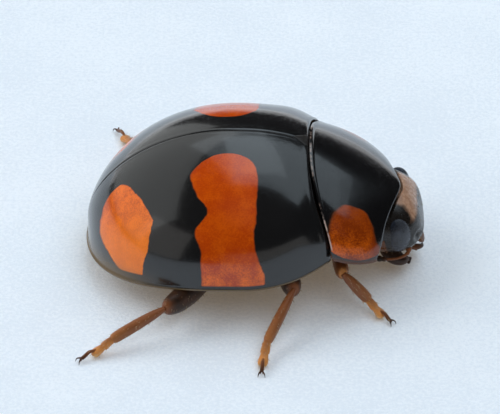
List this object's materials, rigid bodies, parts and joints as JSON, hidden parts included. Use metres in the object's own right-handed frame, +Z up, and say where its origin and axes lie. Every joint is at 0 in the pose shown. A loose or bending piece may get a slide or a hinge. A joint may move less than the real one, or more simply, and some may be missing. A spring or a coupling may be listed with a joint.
{
  "type": "ladybird",
  "caption": "Domed ladybird beetle at rest on six legs, glossy black wing cases with rounded orange patches and an orange corner on each side of the pronotum.",
  "frame": {"origin": "on the floor, under the middle of the animal's box", "axes": "+X to the head, +Y to the animal's left, +Z up"},
  "size_m": [0.0068, 0.0082, 0.003],
  "materials": {
    "shell": "glossy black cuticle",
    "underside": "dark brown cuticle, satin",
    "limb": "reddish brown cuticle",
    "foot": "tan cuticle with pads",
    "eye": "dark grey-blue facets"
  },
  "bodies": {
    "root": {"elytron_left": "shell", "elytron_right": "shell", "scutellum": "shell", "pronotum": "shell", "head": "shell", "eye_left": "eye", "eye_right": "eye", "antenna_left": "limb", "antenna_right": "limb", "jaws": "underside", "palp_left": "limb", "palp_right": "limb", "prothorax": "underside", "thorax": "underside", "abdomen": "underside", "leg_front_left_femur": "underside", "leg_front_left_tibia": "limb", "leg_front_left_tarsus": "foot", "leg_front_right_femur": "underside", "leg_front_right_tibia": "limb", "leg_front_right_tarsus": "foot", "leg_mid_left_femur": "underside", "leg_mid_left_tibia": "limb", "leg_mid_left_tarsus": "foot", "leg_mid_right_femur": "underside", "leg_mid_right_tibia": "limb", "leg_mid_right_tarsus": "foot", "leg_hind_left_femur": "underside", "leg_hind_left_tibia": "limb", "leg_hind_left_tarsus": "foot", "leg_hind_right_femur": "underside", "leg_hind_right_tibia": "limb", "leg_hind_right_tarsus": "foot"}
  },
  "joints": []
}
